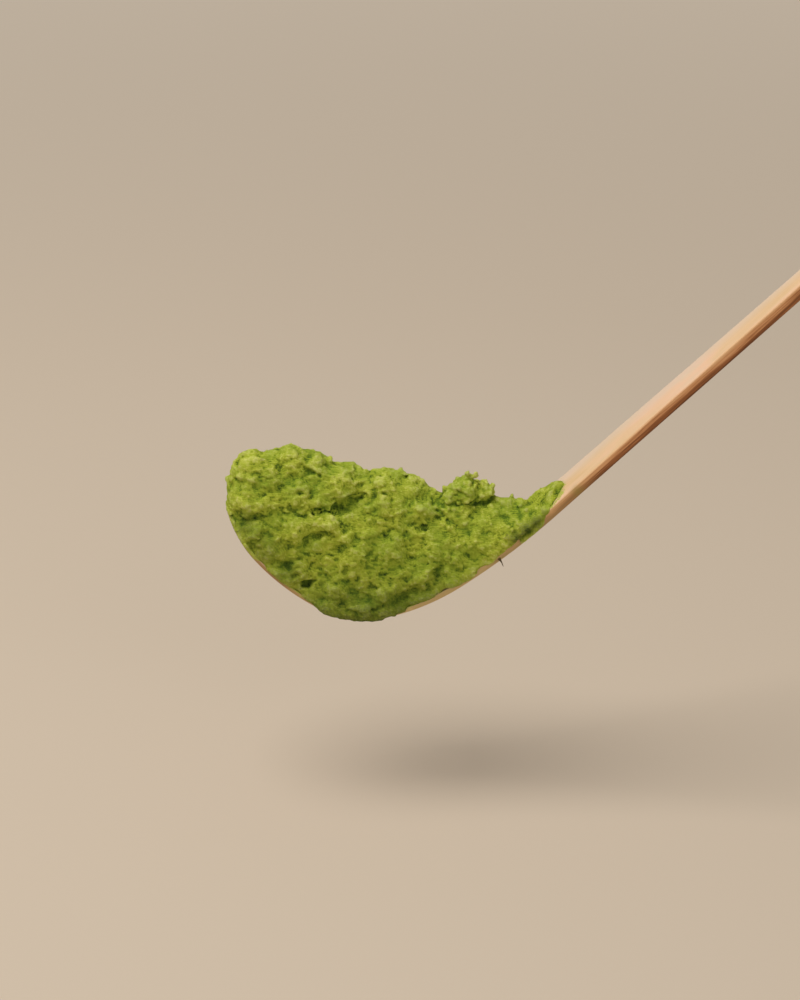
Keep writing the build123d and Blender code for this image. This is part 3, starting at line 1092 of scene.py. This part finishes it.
def make_tea(material):
    """The heap as one relief, parted into its pieces along ragged seams, and a tree of what shows"""
    trees, shown, hidden = tea_surfaces()
    coarse, whole, solids = heap_fields(trees, shown, hidden)
    fine = coarse.finer(finer_times)
    strip_tree = BVHTree.FromPolygons(*node_mesh("bamboo_scoop"))
    blade = refine(signed_distance(strip_tree, coarse), finer_times)
    field = sculpt(refine(whole, finer_times), fine, shown, blade)

    # How open and how proud each place is, for the painted shade in hollows and the painted highlight on
    # lumps
    filled = ((field > 0) | (blade > 0)).astype(np.float32)
    open_share = 1 - blurred(filled, fine.cells(open_reach))
    for proud_reach in proud_reaches:
        filled = blurred(filled, fine.cells(proud_reach))
    proud_share = 1 - filled
    parts = {
        node: refine(solid, finer_times) + seam_relief.height * lattice_noise(fine, seam_relief, i)
        for i, (node, solid) in enumerate(solids.items())
    }
    for name, node in tea_nodes.items():
        others = np.max([part for other, part in parts.items() if other != node], 0)
        own = (parts[node] - others) / 2 + seam_overlap
        points, faces = surface_net(np.minimum(field, own), fine)
        attributes = {
            "open": fine.sample(open_share, points),
            "proud": fine.sample(proud_share, points),
            # Painted shade, low on the heap and where shade falls
            "painted_shade": painted_shade_at(points),
        }
        piece = make_mesh(name, points, faces, "matcha", material, attributes)
        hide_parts(node)
    return shown


# The stage


def seen_share(nodes, links):
    """A socket that is 1 for the rays that show the background, and 0 for those that light the object"""
    ray = nodes.new("ShaderNodeLightPath")
    seen = ray.outputs["Is Camera Ray"]
    for other in ("Is Glossy Ray", "Is Transmission Ray"):
        either = nodes.new("ShaderNodeMath")
        either.operation = "MAXIMUM"
        links.new(seen, either.inputs[0])
        links.new(ray.outputs[other], either.inputs[1])
        seen = either.outputs[0]
    return seen


def floor_look(level):
    """A pale floor that fades into the background's colour far from the object"""
    look = Look("floor")
    look.finish(Base_Color=paint(*floor_colour), Roughness=0.9)
    place = look.node("TexCoord").outputs["Object"]
    centre = Vector((aim.x, aim.y, level)) * MM
    away = look.node("VectorMath", {0: place, 1: centre}, operation="DISTANCE").outputs["Value"]
    faded = look.remap(away, [distance * MM for distance in floor_fade])
    share = look.times(faded, seen_share(look.nodes, look.links))
    far = look.node("Emission", {"Color": paint(*background), "Strength": 1.0})
    mixed = look.node("MixShader", {0: share, 1: look.shader.outputs[0], 2: far.outputs[0]})
    look.links.new(mixed.outputs[0], look.nodes["Material Output"].inputs["Surface"])
    return look.material


def make_stage():
    level = aim.z - floor_drop
    size = floor_half_size
    corners = [(-size, -size, level), (size, -size, level), (size, size, level), (-size, size, level)]
    mesh = bpy.data.meshes.new("floor")
    mesh.from_pydata((np.array(corners) * MM).tolist(), [], [(0, 1, 2, 3)])
    mesh.materials.append(floor_look(level))
    floor = bpy.data.objects.new("floor", mesh)
    bpy.context.scene.collection.objects.link(floor)


def make_lamp(name, place, width, power, colour):
    """A round lamp at a place from the aim, which it faces"""
    light = bpy.data.lights.new(name, "AREA")
    light.shape = "DISK"
    light.size = width * MM
    light.energy = power
    light.color = colour
    lamp = bpy.data.objects.new(name, light)
    lamp.location = (aim + Vector(place)) * MM
    lamp.rotation_euler = (-Vector(place)).to_track_quat("-Z", "Y").to_euler()
    bpy.context.scene.collection.objects.link(lamp)


def make_world():
    """A soft light from all round, and the background's colour where the background is seen"""
    world = bpy.data.worlds.new("studio")
    world.use_nodes = True
    nodes, links = world.node_tree.nodes, world.node_tree.links
    light = nodes["Background"]
    light.inputs["Color"].default_value = sky_colour
    light.inputs["Strength"].default_value = sky_strength
    shown = nodes.new("ShaderNodeBackground")
    shown.inputs["Color"].default_value = paint(*background)
    shown.inputs["Strength"].default_value = 1.0
    mixed = nodes.new("ShaderNodeMixShader")
    links.new(seen_share(nodes, links), mixed.inputs[0])
    links.new(light.outputs[0], mixed.inputs[1])
    links.new(shown.outputs[0], mixed.inputs[2])
    links.new(mixed.outputs[0], nodes["World Output"].inputs["Surface"])
    bpy.context.scene.world = world
    bpy.context.scene.view_settings.view_transform = "Standard"


def make_camera():
    camera = bpy.data.objects.new("camera", bpy.data.cameras.new("camera"))
    camera.data.sensor_width = sensor_width
    camera.data.lens = sensor_width * focal_pixels / picture_size.y
    camera.data.clip_start = nearest_seen * MM
    camera.location = picture_ray(*picture_size / 2)[0] * MM
    camera.rotation_euler = (radians(90 - camera_elevation), 0, 0)
    bpy.context.scene.collection.objects.link(camera)
    bpy.context.scene.camera = camera


shown_tea = make_tea(tea_look())
make_strip(bamboo_look(), shown_tea)
make_fibre(fibre_look())
make_stage()
for lamp_name, lamp_settings in lamps.items():
    make_lamp(lamp_name, *lamp_settings)
make_world()
make_camera()
